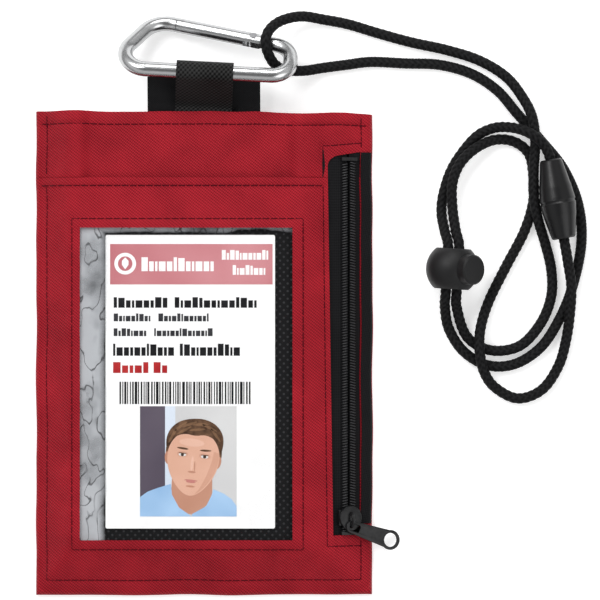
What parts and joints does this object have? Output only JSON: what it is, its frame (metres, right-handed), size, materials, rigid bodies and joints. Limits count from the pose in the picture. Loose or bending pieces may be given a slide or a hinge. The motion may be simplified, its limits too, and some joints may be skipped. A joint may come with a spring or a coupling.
{
  "type": "lanyard badge holder",
  "caption": "Zipped fabric phone pouch with a clear badge window, hung from a snap hook on a looped neck cord with a cord lock and a breakaway connector.",
  "frame": {"origin": "centre of the pouch's flat back face", "axes": "+X to the right of the front, +Y towards the pouch mouth, +Z out of the front"},
  "size_m": [0.1832, 0.1942, 0.0213],
  "materials": {
    "red_fabric": "woven twill",
    "lining": "thin plain weave",
    "clear_vinyl": "clear and flexible",
    "black_mesh": "fine mesh",
    "card": "printed laminate",
    "zip_tape": "woven tape",
    "zip_coil": "moulded coil",
    "zip_stop": "painted clip",
    "zip_metal": "satin black paint",
    "strap_cloth": "plain weave",
    "black_webbing": "ribbed webbing",
    "hook_metal": "satin",
    "rivet_steel": "satin",
    "cord": "braided",
    "lock_plastic": "matte",
    "connector_plastic": "semi-gloss"
  },
  "bodies": {
    "pouch": {"back_panel": "red_fabric", "back_lining": "lining", "left_seam": "red_fabric", "right_seam": "red_fabric", "bottom_seam": "red_fabric", "pocket_divider": "lining", "front_top_panel": "red_fabric", "window_panel": "red_fabric", "clear_window": "clear_vinyl", "window_backing": "black_mesh", "zipper_tape_left": "zip_tape", "zipper_tape_right": "zip_tape", "zipper_coil_left": "zip_coil", "zipper_coil_right": "zip_coil", "zipper_top_stop": "zip_stop", "zipper_bottom_stop": "zip_stop", "right_edge_strip": "black_webbing", "closure_strap": "strap_cloth", "webbing_loop": "black_webbing", "neck_cord": "cord", "cord_lock_barrel": "lock_plastic", "cord_lock_spring": "rivet_steel", "breakaway_socket": "connector_plastic", "cord_end_knots": "cord"},
    "carabiner": {"carabiner_body": "hook_metal", "gate_rivet": "rivet_steel", "cord_bight": "cord"},
    "gate": {"carabiner_gate": "hook_metal", "gate_spring": "rivet_steel"},
    "slider": {"zipper_slider": "zip_metal"},
    "pull": {"zipper_pull": "zip_metal"},
    "badge": {"badge_insert": "card"},
    "lock_button": {"cord_lock_button": "lock_plastic"},
    "plug": {"breakaway_plug": "connector_plastic"}
  },
  "joints": [
    {"name": "carabiner_hinge", "type": "hinge", "parent": "pouch", "child": "carabiner", "pos_m": [0.0005, 0.0924, 0.0176], "axis": [0.9987, -0.0506, 0], "range_deg": [0, 100]},
    {"name": "gate_hinge", "type": "hinge", "parent": "carabiner", "child": "gate", "pos_m": [0.01635, 0.1034, 0.00699], "axis": [0.0339, 0.6683, 0.7431], "range_deg": [0, 30], "stiffness_Nm_per_rad": 0.02, "springref_deg": -20.05},
    {"name": "slider_slide", "type": "slide", "parent": "pouch", "child": "slider", "axis": [0, 1, 0], "range_m": [0, 0.114]},
    {"name": "pull_swivel", "type": "hinge", "parent": "slider", "child": "pull", "pos_m": [0.04902, -0.058, 0.00811], "axis": [0.395, 0, 0.9187], "range_deg": [-140, 55]},
    {"name": "badge_slide", "type": "slide", "parent": "pouch", "child": "badge", "axis": [0, 1, 0], "range_m": [0, 0.036]},
    {"name": "lock_button_slide", "type": "slide", "parent": "pouch", "child": "lock_button", "axis": [-0.6679, 0.0408, -0.7431], "range_m": [0, 0.002], "stiffness_N_per_m": 600, "springref_m": -0.003},
    {"name": "breakaway_slide", "type": "slide", "parent": "pouch", "child": "plug", "axis": [0.165, -0.9863, 0], "range_m": [0, 0.008]}
  ]
}
